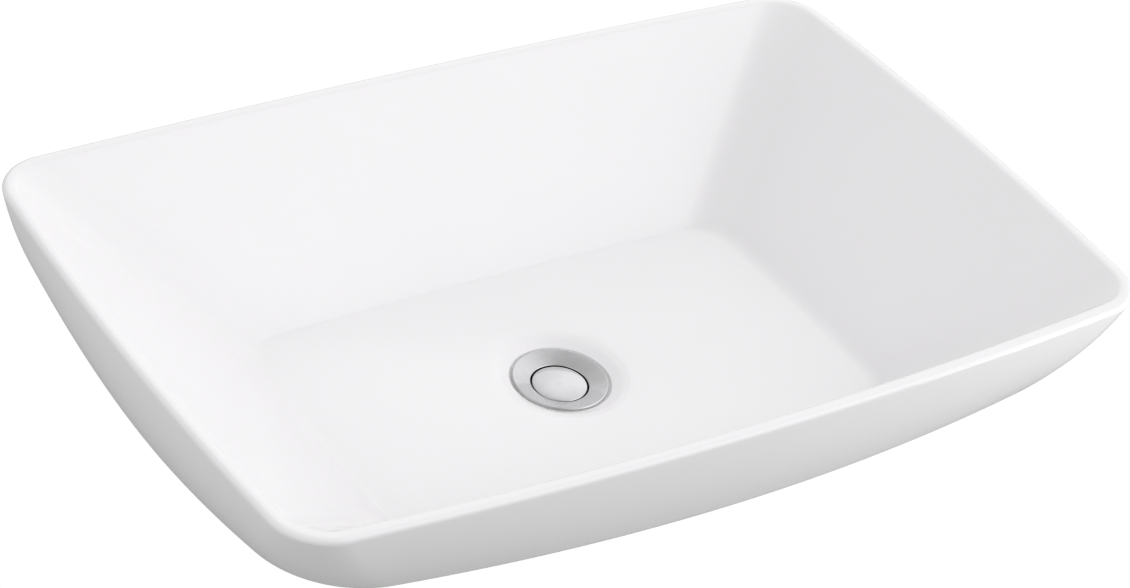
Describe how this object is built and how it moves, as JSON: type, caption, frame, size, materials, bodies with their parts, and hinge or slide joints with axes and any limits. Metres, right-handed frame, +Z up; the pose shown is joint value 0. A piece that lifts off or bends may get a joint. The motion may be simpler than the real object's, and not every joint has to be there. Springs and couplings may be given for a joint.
{
  "type": "semi recessed basin",
  "caption": "Semi-recessed rectangular wash basin with bowed sides, a thin rounded lip and a central click-clack waste, for mounting in a counter cut-out.",
  "frame": {"origin": "on the drain axis, in the plane of the foot ring that rests on the counter, which is the centre of the counter cut-out", "axes": "+X along the basin to the user's right, +Y away from the user, +Z up"},
  "size_m": [0.6068, 0.3927, 0.1728],
  "materials": {
    "glazed_ceramic": "high gloss white glaze, bare matt clay on the foot ring and under the bowl",
    "chrome": "polished chrome plate",
    "white_foam": "soft closed-cell washer",
    "black_rubber": "moulded black rubber",
    "grey_plastic": "moulded acetal",
    "brass": "turned brass",
    "steel": "stainless steel"
  },
  "bodies": {
    "basin": {"basin_body": "glazed_ceramic", "waste_body": "chrome", "flange_seal": "white_foam", "taper_gasket": "black_rubber", "slip_washer": "grey_plastic", "back_nut": "brass", "cartridge_barrel": "brass", "barrel_lid": "brass", "cartridge_washer": "steel", "cartridge_nut": "brass", "return_spring": "steel"},
    "plug": {"plug_cap": "chrome", "plug_seal": "black_rubber", "seal_keeper": "grey_plastic", "plug_stem": "steel", "stem_lock_nut": "brass", "plunger": "brass"},
    "index": {"index_ring": "grey_plastic"}
  },
  "joints": [
    {"name": "plug_lift", "type": "slide", "parent": "basin", "child": "plug", "axis": [0, 0, 1], "range_m": [0, 0.009], "deforming": ["return_spring"]},
    {"name": "index_turn", "type": "hinge", "parent": "plug", "child": "index", "pos_m": [0, 0, -0.068], "axis": [0, 0, 1], "range_deg": [0, 45]}
  ],
  "couplings": [
    {"joint": "index_turn", "follows": "plug_lift", "rad_per_m": 87}
  ]
}
